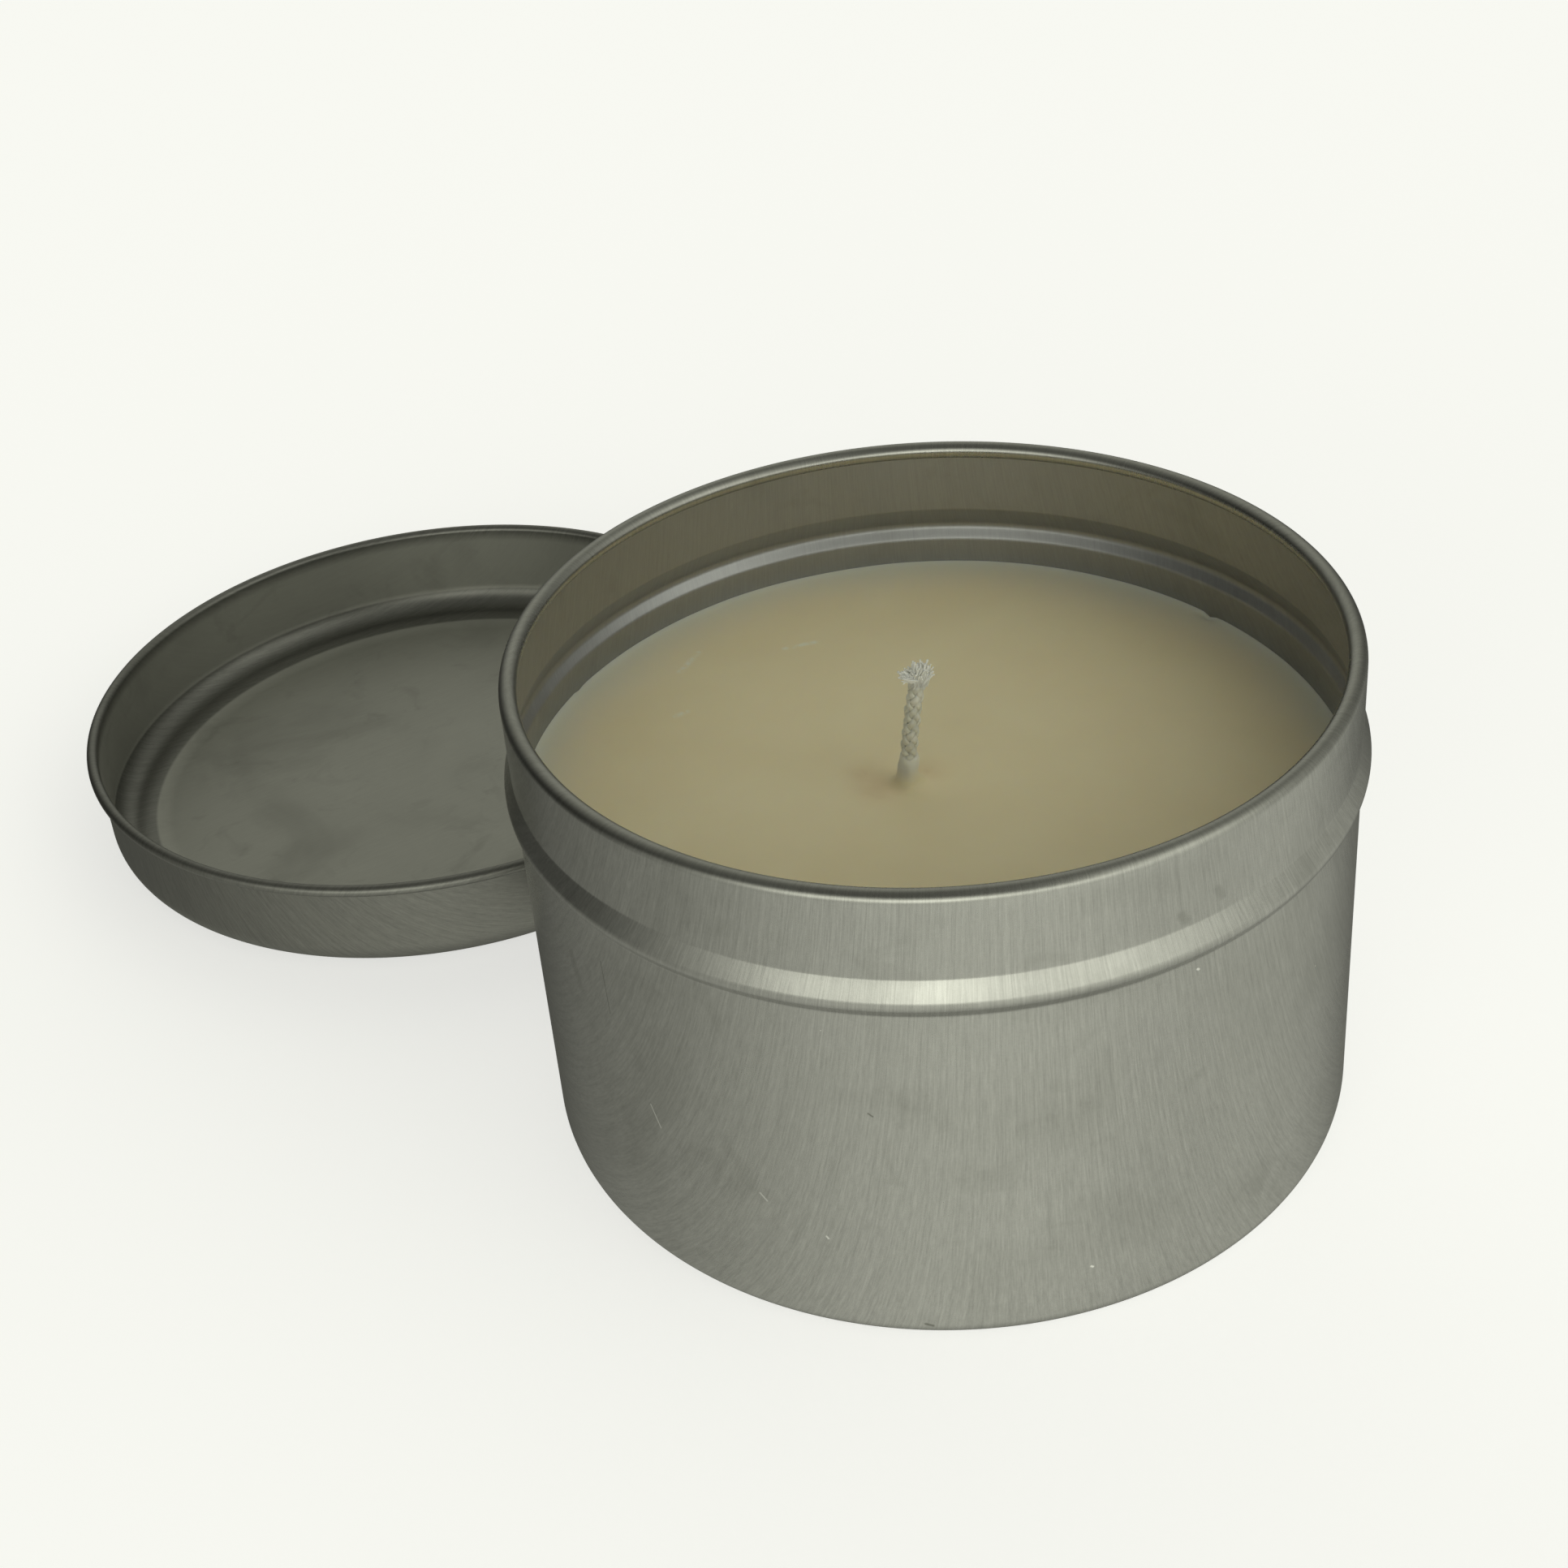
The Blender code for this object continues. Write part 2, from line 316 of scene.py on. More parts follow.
def offset(path, distance):
    """The path moved sideways, to the left of its own direction, with mitred corners."""
    moved = []
    for i, (radius, height) in enumerate(path):
        neighbours = (path[max(i - 1, 0)], path[i], path[min(i + 1, len(path) - 1)])
        directions = [
            ((b[0] - a[0]) / math.dist(a, b), (b[1] - a[1]) / math.dist(a, b))
            for a, b in zip(neighbours, neighbours[1:]) if math.dist(a, b) > 0
        ]
        across = sum(d[0] for d in directions) / len(directions)
        along = sum(d[1] for d in directions) / len(directions)
        miter = distance / (across**2 + along**2)
        moved.append((radius - along * miter, height + across * miter))
    return moved


def tin_floor_path():
    """Middle line of the tin's base, from its centre to the foot of the wall."""
    floor = SHEET / 2
    wall = TIN_RADIUS - SHEET / 2
    corner = TIN_CORNER - SHEET / 2
    groove = joggle((GROOVE_RADIUS, floor), GROOVE_RISE, GROOVE_TURN)
    top_end = (groove[-1][0] + GROOVE_WIDTH, groove[-1][1])
    groove += joggle(top_end, -GROOVE_RISE, GROOVE_TURN)
    corner_foot = (wall - corner, floor)
    inner = line((0, floor), (GROOVE_RADIUS, floor), 12)
    outer = line(groove[-1], corner_foot, 5)
    return inner + groove[:-1] + outer + arc((wall - corner, floor + corner), corner, -90, 0, 12)


def tin_path():
    """Middle line of the tin's steel, from the centre of its base to the edge of its rolled rim."""
    wall = TIN_RADIUS - SHEET / 2
    neck = NECK_RADIUS - SHEET / 2
    crest = wall + BEAD_BULGE
    roll = TIN_ROLL - SHEET / 2
    floor = tin_floor_path()
    lower = half_bead(wall, crest, -1)
    upper = half_bead(neck, crest, 1)[-2::-1]
    rim = arc((neck - roll, TIN_HEIGHT - TIN_ROLL), roll, 0, ROLL_TURN, 36)
    walls = line(floor[-1], lower[0], 18)[1:] + lower + upper
    return floor + walls + line(upper[-1], rim[0], 5)[1:] + rim


def lid_path():
    """Middle line of the lid's steel, from the centre of its panel to the edge of its rolled rim."""
    panel = SHEET / 2
    wall = LID_INNER_RADIUS + SHEET / 2
    corner = LID_CORNER - SHEET / 2
    roll = LID_ROLL - SHEET / 2
    step = joggle((PANEL_RADIUS, panel), PANEL_RISE, PANEL_TURN)
    bend = arc((wall - corner, panel + PANEL_RISE + corner), corner, -90, 0, 16)
    rim = arc((wall + roll, LID_HEIGHT - LID_ROLL), roll, 180, 180 - ROLL_TURN, 36)
    return line((0, panel), step[0], 14) + step + bend + line(bend[-1], rim[0], 6)[1:] + rim


def tin_inside(radius, height):
    """Everything below the rolled rim."""
    return float(height < TIN_HEIGHT - 2 * TIN_ROLL)


def lid_inside(radius, height):
    """The panel and the wall, but not the bend between them."""
    return float(radius < PANEL_RADIUS + 2 * MM or LID_CORNER < height < LID_HEIGHT - 2 * LID_ROLL)


# Meshes


def add_object(name, mesh, finish):
    """Puts a mesh in the scene as an object of one material."""
    mesh.materials.append(finish)
    made = bpy.data.objects.new(name, mesh)
    bpy.context.scene.collection.objects.link(made)
    return made


def turned_sheet(name, path, centre, finish, inside):
    """Sheet steel turned round a vertical axis. Each point also keeps its place on the flat blank
    that the piece was drawn from, so that the rolled grain can follow the metal, and whether it
    belongs to the inside, which gets its own colour: painted shade in the tin, painted light in the lid."""
    inner = offset(path, SHEET / 2)[::-1]
    outline = offset(path, -SHEET / 2) + inner
    shares = [0] * len(path) + [inside(*point) for point in inner]
    area = [0]
    for a, b in zip(path, path[1:]):
        area.append(area[-1] + (a[0] + b[0]) * math.dist(a, b))
    blank_radius = [math.sqrt(a) for a in area]
    blank_radius += blank_radius[::-1]
    vertices, blank, lined, rings = [], [], [], []
    for (radius, height), spread, share in zip(outline, blank_radius, shares):
        count = TURNED_SEGMENTS if radius > MERGE_DISTANCE else 1
        rings.append(range(len(vertices), len(vertices) + count))
        for i in range(count):
            angle = math.tau * i / TURNED_SEGMENTS
            way = Vector((math.cos(angle), math.sin(angle)))
            vertices.append((centre[0] + radius * way.x, centre[1] + radius * way.y, height))
            blank.append((spread * way.x, spread * way.y, 0))
            lined.append(share)
    faces = []
    for low, high in zip(rings, rings[1:]):
        for i in range(TURNED_SEGMENTS):
            j = (i + 1) % TURNED_SEGMENTS
            if len(low) == 1:
                faces.append((low[0], high[j], high[i]))
            elif len(high) == 1:
                faces.append((low[i], low[j], high[0]))
            else:
                faces.append((low[i], low[j], high[j], high[i]))
    mesh = bpy.data.meshes.new(name)
    mesh.from_pydata(vertices, [], faces)
    kept = mesh.attributes.new("blank", "FLOAT_VECTOR", "POINT")
    kept.data.foreach_set("vector", np.array(blank, np.float32).ravel())
    mesh.attributes.new("inside", "FLOAT", "POINT").data.foreach_set("value", lined)
    mesh.shade_smooth()
    mesh.set_sharp_from_angle(angle=math.radians(SHARP_ANGLE))
    return add_object(name, mesh, finish)


def ringed(name, rings, finish):
    """A closed ring-shaped solid through rings of points. The last ring joins the first."""
    count = len(rings[0])
    vertices = [place for ring in rings for place in ring]
    faces = []
    for r in range(len(rings)):
        low, high = r * count, (r + 1) % len(rings) * count
        for i in range(count):
            j = (i + 1) % count
            faces.append((low + i, low + j, high + j, high + i))
    mesh = bpy.data.meshes.new(name)
    mesh.from_pydata(vertices, [], faces)
    mesh.shade_smooth()
    mesh.set_sharp_from_angle(angle=math.radians(SHARP_ANGLE))
    return add_object(name, mesh, finish)


def bump_at(x, y, centre, radius):
    """A smooth hump from 1 at a centre to nothing a few radii away."""
    return math.exp(-((x - centre[0]) ** 2 + (y - centre[1]) ** 2) / radius**2)


def wax_height(x, y):
    """The poured surface: it sank more at one side, and it dips round the wick."""
    radius = math.hypot(x, y)
    share = radius / TIN_RADIUS
    toward_low_side = (x * math.cos(LOW_SIDE) + y * math.sin(LOW_SIDE)) / TIN_RADIUS
    sunk = SINK_DEPTH * max(0, toward_low_side) ** 3
    raised = EDGE_RISE * share**4 * (0.5 - 0.5 * toward_low_side)
    wall_gap = TIN_RADIUS - SHEET - radius
    meniscus = MENISCUS_RISE * math.exp(-max(0, wall_gap) / MENISCUS_REACH)
    wavy = noise.noise((x / WAVE_LENGTH, y / WAVE_LENGTH, 0.5)) * WAVE_HEIGHT
    ripple = noise.noise((x / RIPPLE_LENGTH, y / RIPPLE_LENGTH, 2.5)) * RIPPLE_HEIGHT
    dip = DIP_DEPTH * bump_at(x, y, WICK_PLACE, DIP_RADIUS)
    marks = sum(
        depth * bump_at(x, y, (place_x, place_y), size)
        for place_x, place_y, size, depth in WAX_MARKS
    )
    return WAX_TOP - sunk + raised + meniscus + wavy + ripple - dip + marks


def circle(centre, radius, height):
    """Points round a circle. height is a number or a function of x and y."""
    points = []
    for i in range(TURNED_SEGMENTS):
        angle = math.tau * i / TURNED_SEGMENTS
        x = centre[0] + radius * math.cos(angle)
        y = centre[1] + radius * math.sin(angle)
        points.append((x, y, height(x, y) if callable(height) else height))
    return points


def wick_lean(height):
    """How far the wick has leaned over at a height: it is straight in the wax, and bends above it."""
    free = max(0, height - WAX_TOP) / (WICK_TOP - WAX_TOP)
    return WICK_LEAN * free**1.5


def make_wax(finish):
    """The wax, from the space round the wick, out under the floor, up the wall and back over the top."""
    inside = offset(tin_floor_path(), SHEET / 2 + WAX_CLEARANCE)
    wall = inside[-1][0]
    floor = [point for point in inside if point[0] > UNDERSIDE_START]
    space = (
        (BORE, WAX_TOP + 2 * MM),
        (BORE, SUSTAINER_TOP + GAP),
        (SUSTAINER_NECK_RADIUS, SUSTAINER_TOP),
        (SUSTAINER_NECK_RADIUS, PLATE_TOP + GAP),
        (SUSTAINER_NECK_RADIUS + GAP, PLATE_TOP),
        (PLATE_RADIUS, PLATE_TOP),
        (PLATE_RADIUS, inside[0][1]),
    )
    rings = [circle(WICK_PLACE, radius, height) for radius, height in space]
    rings += [circle((0, 0), radius, height) for radius, height in floor]
    rings += [circle((0, 0), wall, height) for height in WAX_WALL_HEIGHTS]
    for i in range(WAX_RINGS + 1):
        share = 1 - i / WAX_RINGS
        out = 1 - (1 - share) ** RING_CROWDING
        centre = WICK_PLACE * (1 - out)
        rings.append(circle(centre, SURFACE_START + (wall - SURFACE_START) * out, wax_height))
    for radius, height in COLLAR[::-1]:
        lean = wick_lean(WAX_TOP + height * MM)
        uneven = []
        for x, y, _ in circle((WICK_PLACE.x + lean, WICK_PLACE.y), radius * MM, 0):
            lumps = noise.noise((x * COLLAR_SWELL_SCALE, y * COLLAR_SWELL_SCALE, height))
            swell = 1 + COLLAR_SWELL * lumps
            away = (Vector((x, y)) - WICK_PLACE) * swell
            runs = noise.noise((x * COLLAR_SAG_SCALE, y * COLLAR_SAG_SCALE, 7.5))
            fall = height * MM * (1 + COLLAR_SAG * runs)
            level = wax_height(x, y) if height < COLLAR_FOOT else WAX_TOP - DIP_DEPTH
            uneven.append((WICK_PLACE.x + away.x, WICK_PLACE.y + away.y, level + fall))
        rings.append(uneven)
    return ringed("wax_pour", rings, finish)


def tube(vertices, faces, path, widths, sides):
    """Adds a closed tube along a path of (point, outward) pairs. widths has (half width, half thickness)
    at each point, and the thickness lies outward."""
    start = len(vertices)
    for i, ((place, outward), (width, thickness)) in enumerate(zip(path, widths)):
        ahead = path[min(i + 1, len(path) - 1)][0] - path[max(i - 1, 0)][0]
        across = ahead.cross(outward).normalized()
        out = across.cross(ahead).normalized()
        for k in range(sides):
            angle = math.tau * k / sides
            sideways = across * width * math.cos(angle)
            outwards = out * thickness * math.sin(angle)
            vertices.append(place + sideways + outwards)
    for i in range(len(path) - 1):
        for k in range(sides):
            low, high = start + i * sides, start + (i + 1) * sides
            j = (k + 1) % sides
            faces.append((low + k, low + j, high + j, high + k))
    faces.append([start + k for k in range(sides)][::-1])
    faces.append([start + (len(path) - 1) * sides + k for k in range(sides)])


def make_wick(finish):
    """A round braid: strands of two hands pass over and under each other, and fray out at the top."""
    chance = random.Random(BRAID_STRANDS)
    vertices, faces = [], []
    fray_start = WICK_TOP - FRAY_HEIGHT
    steps = int((fray_start - WICK_FOOT) / WICK_STEP)
    for hand in (1, -1):
        for strand in range(BRAID_STRANDS):
            path, widths = [], []
            for i in range(steps + 1):
                height = WICK_FOOT + (fray_start - WICK_FOOT) * i / steps
                turn = math.tau * (height - WICK_FOOT) / BRAID_PITCH
                angle = hand * turn + math.tau * strand / BRAID_STRANDS
                outward = Vector((math.cos(angle), math.sin(angle), 0))
                radius = BRAID_RADIUS + hand * BRAID_WEAVE * math.cos(BRAID_STRANDS * turn)
                uneven = 1 + 0.10 * noise.noise((strand * 7.0 + hand, height / (0.8 * MM), 3.5))
                centre = Vector((WICK_PLACE.x + wick_lean(height), WICK_PLACE.y, height))
                path.append((centre + outward * radius * uneven, outward))
                widths.append((STRAND_WIDTH * uneven, STRAND_THICKNESS * uneven))
            tube(vertices, faces, path, widths, 10)
            fray(vertices, faces, path[-1][0], chance)
    core = []
    for i in range(0, steps + 1, 8):
        height = WICK_FOOT + (fray_start - WICK_FOOT) * i / steps
        centre = Vector((WICK_PLACE.x + wick_lean(height), WICK_PLACE.y, height))
        core.append((centre, Vector((1, 0, 0))))
    tube(vertices, faces, core, [(CORE_RADIUS, CORE_RADIUS)] * len(core), 8)
    mesh = bpy.data.meshes.new("wick_braid")
    mesh.from_pydata(vertices, [], faces)
    mesh.shade_smooth()
    mesh.set_sharp_from_angle(angle=math.radians(SHARP_ANGLE))
    return add_object("wick_braid", mesh, finish)


def fray(vertices, faces, end, chance):
    """The cut end of a strand opens into short hairs, which gather into two tufts."""
    for way, length, start, hairs in FRAY_TUFTS:
        for _ in range(hairs):
            spread = Vector([chance.gauss(0, HAIR_SPREAD) for _ in range(3)])
            curl = Vector([chance.gauss(0, HAIR_CURL) for _ in range(3)])
            root = end + Vector([chance.gauss(0, HAIR_ROOT) for _ in range(3)]) + Vector((0, 0, start))
            reach = length * chance.uniform(*HAIR_REACH)
            size = chance.uniform(*HAIR_SIZES) * MM
            path, widths = [], []
            for i in range(FRAY_STEPS + 1):
                share = i / FRAY_STEPS
                straight = (way + spread).normalized() * reach * share
                bent = curl * reach * share**2 * HAIR_BEND
                here = root + straight + bent
                here.z = min(here.z, WICK_TOP - HAIR_HEADROOM)
                path.append((here, Vector((0, 1, 0))))
                widths.append((size * (1 - HAIR_TAPER * share),) * 2)
            tube(vertices, faces, path, widths, 6)


# Materials


class Nodes:
    """Short calls for building a material's node tree."""

    def __init__(self, name):
        self.material = bpy.data.materials.new(name)
        self.material.use_nodes = True
        self.tree = self.material.node_tree
        self.shader = self.tree.nodes["Principled BSDF"]

    def add(self, kind, **settings):
        node = self.tree.nodes.new(kind)
        for key, value in settings.items():
            setattr(node, key, value)
        return node

    def put(self, socket, value):
        if isinstance(value, bpy.types.NodeSocket):
            self.tree.links.new(value, socket)
        elif isinstance(value, tuple) and len(value) == 3 and socket.type == "RGBA":
            socket.default_value = (*value, 1)
        else:
            socket.default_value = value

    def set(self, **values):
        for name, value in values.items():
            self.put(self.shader.inputs[name.replace("_", " ")], value)

    def position(self):
        """A place on the object, which moves with it."""
        return self.add("ShaderNodeTexCoord").outputs["Object"]

    def blank(self):
        """The place on the flat blank, which turned_sheet keeps."""
        return self.add("ShaderNodeAttribute", attribute_name="blank").outputs["Vector"]

    def turned(self, vector, angle):
        node = self.add("ShaderNodeMapping")
        self.put(node.inputs["Vector"], vector)
        self.put(node.inputs["Rotation"], (0, 0, angle))
        return node.outputs["Vector"]

    def scaled(self, vector, scale):
        node = self.add("ShaderNodeMapping")
        self.put(node.inputs["Vector"], vector)
        self.put(node.inputs["Scale"], scale)
        return node.outputs["Vector"]

    def distance(self, vector, place):
        """How far a point is from a place, in metres."""
        node = self.add("ShaderNodeVectorMath", operation="DISTANCE")
        self.put(node.inputs[0], vector)
        self.put(node.inputs[1], place)
        return node.outputs["Value"]

    def near_line(self, vector, start, end):
        """How far a point is from a straight line between two places, in metres."""
        along = Vector(end) - Vector(start)
        away = self.add("ShaderNodeVectorMath", operation="SUBTRACT")
        self.put(away.inputs[0], vector)
        self.put(away.inputs[1], tuple(start))
        dot = self.add("ShaderNodeVectorMath", operation="DOT_PRODUCT")
        self.put(dot.inputs[0], away.outputs[0])
        self.put(dot.inputs[1], tuple(along / along.length_squared))
        share = self.add("ShaderNodeClamp")
        self.put(share.inputs["Value"], dot.outputs["Value"])
        foot = self.add("ShaderNodeVectorMath", operation="SCALE")
        self.put(foot.inputs[0], tuple(along))
        self.put(foot.inputs["Scale"], share.outputs[0])
        return self.distance(away.outputs[0], foot.outputs[0])

    def specks(self, vector, scale, size, share):
        """Small round dots, one in some of the cells of a grid: 1 in a dot and 0 elsewhere."""
        node = self.add("ShaderNodeTexVoronoi")
        self.put(node.inputs["Vector"], vector)
        self.put(node.inputs["Scale"], scale)
        dot = self.spread(node.outputs["Distance"], size, size * 0.4)
        chosen = self.math("LESS_THAN", self.part(node.outputs["Color"], "X"), share)
        return self.math("MULTIPLY", dot, chosen)

    def part(self, vector, axis):
        node = self.add("ShaderNodeSeparateXYZ")
        self.put(node.inputs[0], vector)
        return node.outputs[axis]

    def noise(self, vector, scale, detail=2.0, roughness=0.5, distortion=0.0):
        node = self.add("ShaderNodeTexNoise")
        self.put(node.inputs["Vector"], vector)
        self.put(node.inputs["Scale"], scale)
        self.put(node.inputs["Detail"], detail)
        self.put(node.inputs["Roughness"], roughness)
        self.put(node.inputs["Distortion"], distortion)
        return node.outputs["Fac"]

    def math(self, operation, a, b=0.5, c=0.5):
        node = self.add("ShaderNodeMath", operation=operation)
        for socket, value in zip(node.inputs, (a, b, c)):
            self.put(socket, value)
        return node.outputs[0]

    def spread(self, value, low, high, to_low=0.0, to_high=1.0):
        """Stretches the values from low to high over to_low to to_high, and clamps the rest."""
        node = self.add("ShaderNodeMapRange")
        self.put(node.inputs["Value"], value)
        self.put(node.inputs["From Min"], low)
        self.put(node.inputs["From Max"], high)
        self.put(node.inputs["To Min"], to_low)
        self.put(node.inputs["To Max"], to_high)
        return node.outputs["Result"]

    def mix(self, factor, a, b):
        node = self.add("ShaderNodeMix", data_type="RGBA")
        self.put(node.inputs[0], factor)
        self.put(node.inputs[6], a)
        self.put(node.inputs[7], b)
        return node.outputs[2]

    def bump(self, height, distance, strength=1.0, normal=None):
        node = self.add("ShaderNodeBump")
        self.put(node.inputs["Height"], height)
        self.put(node.inputs["Distance"], distance)
        self.put(node.inputs["Strength"], strength)
        if normal is not None:
            self.put(node.inputs["Normal"], normal)
        return node.outputs["Normal"]


def on_wall(azimuth, height):
    """A place on the outside of the tin's wall."""
    turn = math.radians(azimuth)
    return Vector((TIN_RADIUS * math.cos(turn), TIN_RADIUS * math.sin(turn), height * MM))


def steel(name, dark, light, roughness, grain_turn, smudges, inside_shading, marks):
    """Rolled steel sheet: fine streaks along the sheet's grain, soft smudges and slight wear, painted shade
    on the top of the tin's rim, and an inside colour of painted shade in the tin and painted light in the
    lid.
    """
    n = Nodes(name)
    place = n.position()
    rolled = n.turned(n.blank(), -grain_turn)
    grain = n.noise(n.scaled(rolled, (700, 5600, 1)), 1.0, 3.0, 0.6)
    long_streaks = n.noise(n.scaled(rolled, (110, 2400, 1)), 1.0, 2.0, 0.5)
    pits = n.noise(place, 4200, 2.0, 0.6)
    smudge = n.noise(place, 55, 4.0, 0.55, 0.6)
    patch = n.noise(place, 160, 3.0, 0.6, 0.8)
    tone = n.math("ADD", n.math("MULTIPLY", grain, 0.5), n.math("MULTIPLY", long_streaks, 0.35))
    tone = n.math("ADD", tone, n.math("MULTIPLY", pits, 0.15))
    colour = n.mix(n.spread(tone, 0.36, 0.64), dark, light)
    large = n.spread(smudge, 0.52, 0.70, 0, smudges)
    small = n.spread(patch, 0.58, 0.75, 0, smudges)
    inside = n.add("ShaderNodeAttribute", attribute_name="inside").outputs["Fac"]
    # Painted light and shade: the inside takes a darker colour in the tin and a lighter one in the lid
    colour = n.mix(n.math("MULTIPLY", inside, INSIDE_SHADING_SHARE), colour, inside_shading)
    colour = n.mix(n.math("ADD", large, small), colour, SMUDGED)
    for start, end, width, strength, tint in marks:
        near = n.near_line(place, on_wall(*start), on_wall(*end))
        colour = n.mix(n.spread(near, width, width * 0.3, 0, strength), colour, tint)
    # Painted shade: the top of the tin's rim is darkened towards the soiled colour
    rim_shade = n.spread(n.part(place, "Z"), RIM_SHADE_FROM, TIN_HEIGHT, 0, RIM_SHADE)
    colour = n.mix(rim_shade, colour, SOILED_AND_SHADE)
    bright = n.specks(place, 190, 0.018, 0.10)
    rougher = n.math("MULTIPLY", inside, INSIDE_ROUGHER)
    uneven = n.math("ADD", smudge, n.math("MULTIPLY", pits, 0.4))
    rough = n.spread(uneven, 0.4, 1.0, roughness - 0.04, roughness + 0.07)
    relief = n.math("ADD", n.math("ADD", grain, long_streaks), pits)
    n.set(
        Base_Color=n.mix(bright, colour, BRIGHT),
        Metallic=1.0,
        Roughness=n.math("ADD", rougher, rough),
        Normal=n.bump(relief, STEEL_RELIEF, 0.8),
    )
    return n.material


def wax_finish():
    """Soft creamy wax: cloudy, a little greyer and greener at its edge as a painted reflection of the steel
    wall, with painted shadows of the wick round its foot.
    """
    n = Nodes("wax")
    place = n.position()
    cloud = n.noise(place, 90, 3.0, 0.5, 0.3)
    across = n.scaled(place, (1, 1, 0))
    out = n.math("ADD", n.distance(across, (0, 0, 0)), n.math("MULTIPLY", cloud, 3 * MM))
    # Painted reflection: the wax turns greyer and greener towards the steel wall
    edge = n.spread(out, 31 * MM, 40 * MM)
    colour = n.mix(n.spread(cloud, 0.3, 0.7), WAX_DEEP, WAX_PALE)
    colour = n.mix(n.math("MULTIPLY", edge, edge), colour, WAX_WALL_REFLECTION)
    shadow_blotches = n.noise(place, 420, 2.0, 0.5, 0.5)
    # Painted shadows of the wick: brown blotchy patches round its foot
    for spot, size, depth in WICK_SHADOWS:
        near = n.spread(n.distance(across, spot), size, 0)
        blotchy = n.spread(shadow_blotches, 0.3, 0.7, 0.5, 1.0)
        near = n.math("MULTIPLY", n.math("MULTIPLY", near, near), blotchy)
        colour = n.mix(n.math("MULTIPLY", near, depth), colour, WAX_SHADOWED)
    scuffed = n.spread(n.noise(place, 1500, 2.0), 0.35, 0.6)
    for start, end in WAX_SCUFFS:
        near = n.spread(n.near_line(across, start, end), 0.5 * MM, 0.1 * MM, 0, 0.7)
        colour = n.mix(n.math("MULTIPLY", near, scuffed), colour, WAX_SCUFFED)
    climb = n.spread(n.part(place, "Z"), WAX_TOP + 0.3 * MM, WAX_TOP + 2.0 * MM)
    n.set(
        Base_Color=n.mix(climb, colour, WAX_THIN),
        Roughness=n.spread(n.noise(place, 260, 3.0), 0.3, 0.7, 0.42, 0.58),
        Subsurface_Weight=0.35,
        Subsurface_Radius=(1.0, 0.8, 0.4),
        Subsurface_Scale=1.2 * MM,
        IOR=1.44,
        Specular_IOR_Level=0.4,
        Normal=n.bump(n.noise(place, 700, 3.0, 0.55), 0.02 * MM, 0.35),
    )
    return n.material


def cotton_finish():
    """Braided cotton soaked in wax, with a drier and whiter cut end."""
    n = Nodes("wick_cotton")
    place = n.position()
    fibre = n.noise(n.scaled(place, (9000, 9000, 2200)), 1.0, 3.0, 0.6)
    soak = n.noise(place, 900, 2.0, 0.5)
    height = n.math("ADD", n.part(place, "Z"), n.math("MULTIPLY", soak, 0.6 * MM))
    dry = n.spread(height, WICK_TOP - FRAY_HEIGHT - 0.3 * MM, WICK_TOP - FRAY_HEIGHT + 0.9 * MM)
    waxed = n.mix(n.spread(soak, 0.35, 0.65), (0.72, 0.71, 0.60), (0.84, 0.82, 0.71))
    colour = n.mix(dry, waxed, (0.98, 0.97, 0.91))
    n.set(
        Base_Color=n.mix(n.spread(fibre, 0.35, 0.75, 0.0, 0.12), colour, (0.50, 0.48, 0.38)),
        Roughness=n.spread(soak, 0.3, 0.7, 0.5, 0.75),
        Subsurface_Weight=0.45,
        Subsurface_Radius=(1.0, 0.9, 0.7),
        Subsurface_Scale=0.5 * MM,
        Sheen_Weight=0.2,
        Normal=n.bump(fibre, 0.02 * MM, 0.6),
    )
    return n.material


def tinned_finish():
    """The sustainer's bright tinned plate, with faint drawing marks and a little wax left on it."""
    n = Nodes("sustainer_metal")
    place = n.position()
    brushed = n.noise(n.scaled(place, (300, 4200, 300)), 1.0, 3.0, 0.6)
    smear = n.noise(place, 350, 3.0, 0.5, 0.5)
    n.set(
        Base_Color=n.mix(n.spread(brushed, 0.3, 0.7), (0.56, 0.56, 0.54), (0.68, 0.68, 0.66)),
        Metallic=1.0,
        Roughness=n.spread(smear, 0.3, 0.7, 0.24, 0.42),
        Normal=n.bump(brushed, 0.005 * MM, 0.5),
    )
    return n.material


def foam_finish():
    """The sticker's white foam, full of small closed cells."""
    n = Nodes("sticker_foam")
    place = n.position()
    cells = n.noise(place, 3200, 2.0, 0.6)
    yellowing = n.noise(place, 160, 2.0)
    n.set(
        Base_Color=n.mix(n.spread(yellowing, 0.3, 0.7), (0.80, 0.79, 0.74), (0.72, 0.70, 0.62)),
        Roughness=n.spread(cells, 0.3, 0.7, 0.78, 0.95),
        Normal=n.bump(cells, 0.08 * MM, 0.7),
    )
    return n.material


# Camera, floor and light


def make_camera():
    """The photo's view of the object."""
    data = bpy.data.cameras.new("camera")
    data.sensor_width = SENSOR_WIDTH
    data.lens = CAMERA_LENS
    data.shift_x, data.shift_y = CAMERA_SHIFT
    data.clip_start, data.clip_end = CAMERA_CLIP
    camera = bpy.data.objects.new("camera", data)
    bpy.context.scene.collection.objects.link(camera)
    yaw, pitch, roll = (math.radians(a) for a in (CAMERA_YAW, CAMERA_PITCH, CAMERA_ROLL))
    ahead = Vector((math.sin(yaw) * math.cos(pitch), math.cos(yaw) * math.cos(pitch), -math.sin(pitch)))
    level = Vector((math.cos(yaw), -math.sin(yaw), 0))
    down = ahead.cross(level)
    right = math.cos(roll) * level + math.sin(roll) * down
    down = math.cos(roll) * down - math.sin(roll) * level
    turn = Matrix((right, -down, -ahead)).transposed()
    camera.matrix_world = Matrix.Translation(CAMERA_PLACE) @ turn.to_4x4()
    bpy.context.scene.camera = camera


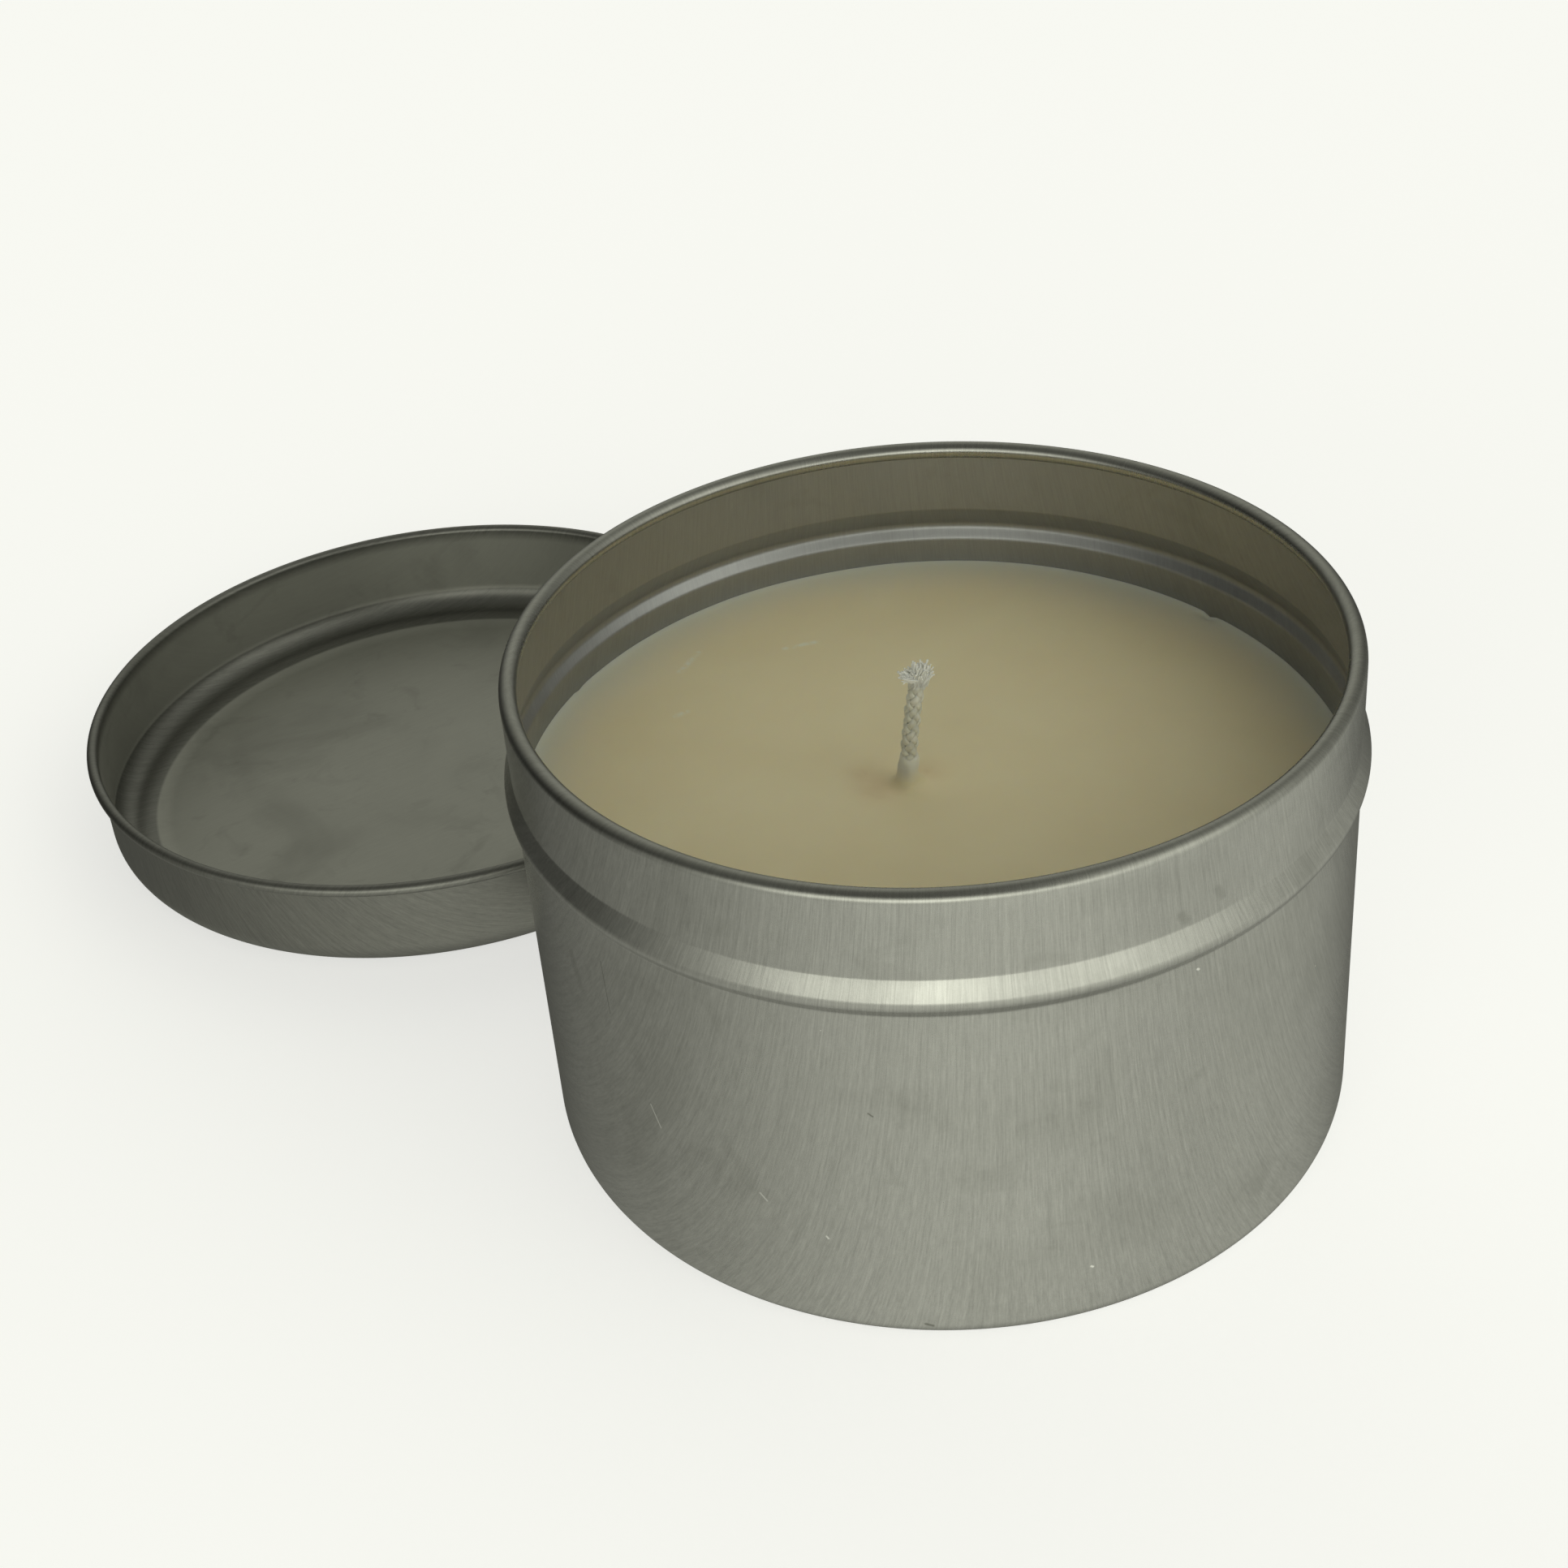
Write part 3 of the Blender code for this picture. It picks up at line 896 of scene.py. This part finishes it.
def make_sky(scene):
    """Soft light all round: the sum of broad patches, which only the camera sees as a plain pale room."""
    world = bpy.data.worlds.new("studio")
    world.use_nodes = True
    scene.world = world
    tree = world.node_tree
    way = tree.nodes.new("ShaderNodeTexCoord").outputs["Generated"]
    total = None
    for azimuth, elevation, sharpness, strength in SOFT_LIGHTS:
        turn, rise = math.radians(azimuth), math.radians(elevation)
        facing = tree.nodes.new("ShaderNodeVectorMath")
        facing.operation = "DOT_PRODUCT"
        tree.links.new(way, facing.inputs[0])
        facing.inputs[1].default_value = (
            math.cos(turn) * math.cos(rise), math.sin(turn) * math.cos(rise), math.sin(rise),
        )
        link = facing.outputs["Value"]
        for operation, value in (("MAXIMUM", 0), ("POWER", sharpness), ("MULTIPLY", strength)):
            step = tree.nodes.new("ShaderNodeMath")
            step.operation = operation
            tree.links.new(link, step.inputs[0])
            step.inputs[1].default_value = value
            link = step.outputs[0]
        if total is not None:
            step = tree.nodes.new("ShaderNodeMath")
            tree.links.new(total, step.inputs[0])
            tree.links.new(link, step.inputs[1])
            link = step.outputs[0]
        total = link
    soft = tree.nodes["Background"]
    soft.inputs["Color"].default_value = (*SKY_COLOUR, 1)
    tree.links.new(total, soft.inputs["Strength"])
    room = tree.nodes.new("ShaderNodeBackground")
    room.inputs["Color"].default_value = (*ROOM_COLOUR, 1)
    chosen = tree.nodes.new("ShaderNodeMixShader")
    tree.links.new(tree.nodes.new("ShaderNodeLightPath").outputs["Is Camera Ray"], chosen.inputs[0])
    tree.links.new(soft.outputs[0], chosen.inputs[1])
    tree.links.new(room.outputs[0], chosen.inputs[2])
    tree.links.new(chosen.outputs[0], tree.nodes["World Output"].inputs["Surface"])


def make_studio():
    """The soft sky, and a pale floor that only the camera sees."""
    scene = bpy.context.scene
    scene.view_settings.view_transform = "Standard"
    make_sky(scene)
    bpy.ops.mesh.primitive_plane_add(size=FLOOR_SIZE, location=(0, 0, -FLOOR_DROP))
    floor = bpy.context.object
    floor.name = "floor"
    finish = Nodes("floor")
    finish.set(
        Base_Color=FLOOR_COLOUR,
        Roughness=0.9,
        Specular_IOR_Level=0.1,
        Emission_Color=ROOM_COLOUR,
        Emission_Strength=FLOOR_GLOW,
    )
    floor.data.materials.append(finish.material)
    floor.visible_glossy = False
    floor.visible_diffuse = False
    floor.visible_shadow = False
    floor.visible_transmission = False


def place_piece(piece, body, node):
    """Rides a piece on its body, in place of the CAD node that it remakes."""
    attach(piece, body)
    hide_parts(node)


def main():
    make_camera()
    make_studio()
    tin_steel = steel(
        "tin_steel", TIN_DARK, TIN_LIGHT, TIN_ROUGHNESS, TIN_GRAIN, TIN_SMUDGES, TIN_INSIDE_SHADE, TIN_MARKS,
    )
    # The lid's steel carries painted shade in its darker tones
    lid_steel = steel(
        "lid_steel", LID_SHADED_DARK, LID_SHADED_LIGHT, LID_ROUGHNESS, LID_GRAIN, LID_SMUDGES, LID_INSIDE_LIGHT, (),
    )
    tin = turned_sheet("tin_shell", tin_path(), (0, 0), tin_steel, tin_inside)
    lid = turned_sheet("lid_shell", lid_path(), LID_CENTRE, lid_steel, lid_inside)
    place_piece(tin, "tin", "tin_body")
    place_piece(lid, "lid", "lid")
    place_piece(make_wax(wax_finish()), "tin", "wax_fill")
    place_piece(make_wick(cotton_finish()), "tin", "wick")
    for node, finish in (("wick_sustainer", tinned_finish()), ("wick_sticker", foam_finish())):
        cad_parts[node].material_slots[0].material = finish


main()
